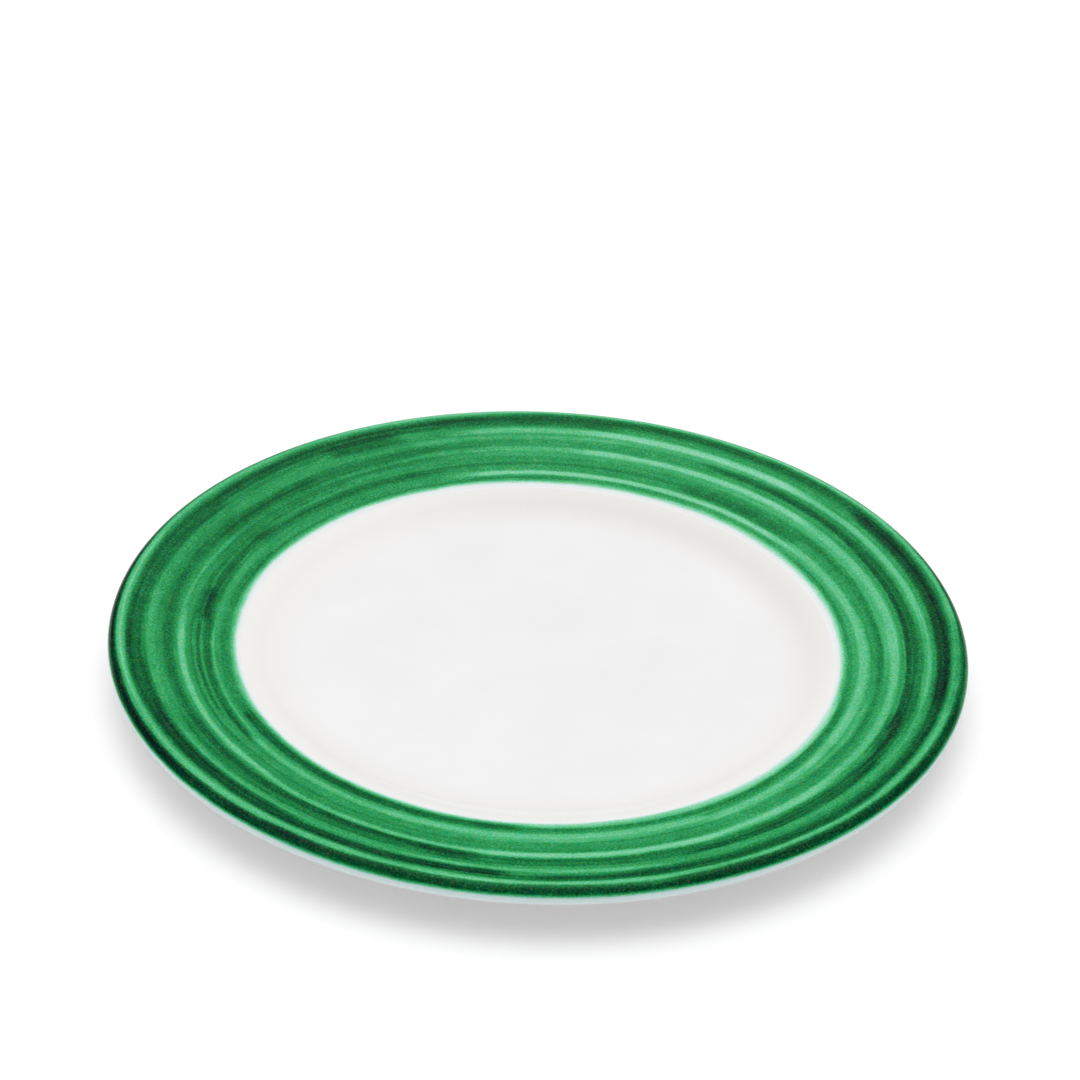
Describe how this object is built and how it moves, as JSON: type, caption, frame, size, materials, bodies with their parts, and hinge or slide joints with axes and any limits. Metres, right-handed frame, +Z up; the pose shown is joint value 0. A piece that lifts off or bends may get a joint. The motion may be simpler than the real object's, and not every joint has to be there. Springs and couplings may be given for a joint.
{
  "type": "dinner plate",
  "caption": "Round glazed earthenware dinner plate with a wide flat rim, a shallow well, a rounded lip and a low foot ring; the rim is hand-banded in green.",
  "frame": {"origin": "centre of the plate, on the surface it stands on", "axes": "+Z up along the axis the plate was turned about; X and Y lie in the standing surface and are alike"},
  "size_m": [0.27, 0.27, 0.0185],
  "materials": {
    "fired_clay": "bare fired earthenware, matt, fine sandy grain",
    "white_glaze": "glossy white tin glaze",
    "green_glaze": "glossy green glaze, brushed on in streaky rings"
  },
  "bodies": {
    "root": {"clay_body": "fired_clay", "well_glaze": "white_glaze", "rim_band_glaze": "green_glaze", "back_glaze": "white_glaze", "foot_recess_glaze": "white_glaze"}
  },
  "joints": []
}
